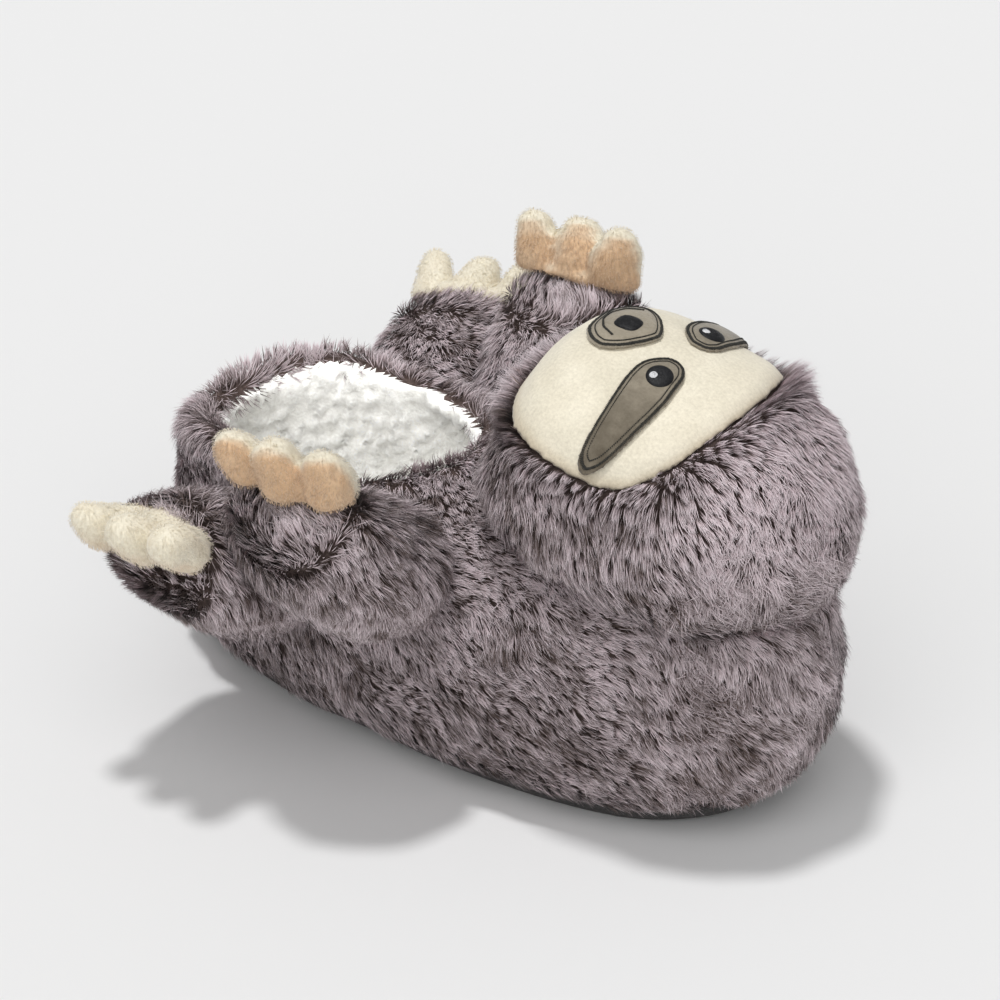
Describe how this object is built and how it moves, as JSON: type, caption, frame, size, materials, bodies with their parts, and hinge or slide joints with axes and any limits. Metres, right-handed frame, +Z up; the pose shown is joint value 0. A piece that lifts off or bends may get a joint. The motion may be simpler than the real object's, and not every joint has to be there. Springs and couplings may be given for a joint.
{
  "type": "animal slipper",
  "caption": "Plush closed-toe slipper shaped as a sloth on its back: stuffed head over the toe, clawed limbs beside a rolled faux-fur collar.",
  "frame": {"origin": "on the floor under the ball of the foot, on the outsole's flat forefoot, on the slipper's middle line", "axes": "+X to the toe, +Y to the wearer's left, +Z up"},
  "size_m": [0.27, 0.2342, 0.1705],
  "materials": {
    "faux_fur": "long pile, lilac grey tips over dark brown roots",
    "cream_velboa": "short cream pile",
    "taupe_velboa": "short taupe pile with dark stitching",
    "white_sherpa": "curly white pile",
    "sole_foam": "matt soft foam"
  },
  "bodies": {
    "root": {"outsole": "sole_foam", "insole": "white_sherpa", "upper": "faux_fur", "head": "faux_fur", "face_panel": "cream_velboa", "muzzle_patch": "taupe_velboa", "eye_patch_left": "taupe_velboa", "eye_patch_right": "taupe_velboa", "arm_left": "faux_fur", "arm_right": "faux_fur", "leg_left": "faux_fur", "leg_right": "faux_fur", "arm_claws_left": "cream_velboa", "arm_claws_right": "cream_velboa", "leg_claws_left": "cream_velboa", "leg_claws_right": "cream_velboa"}
  },
  "joints": []
}
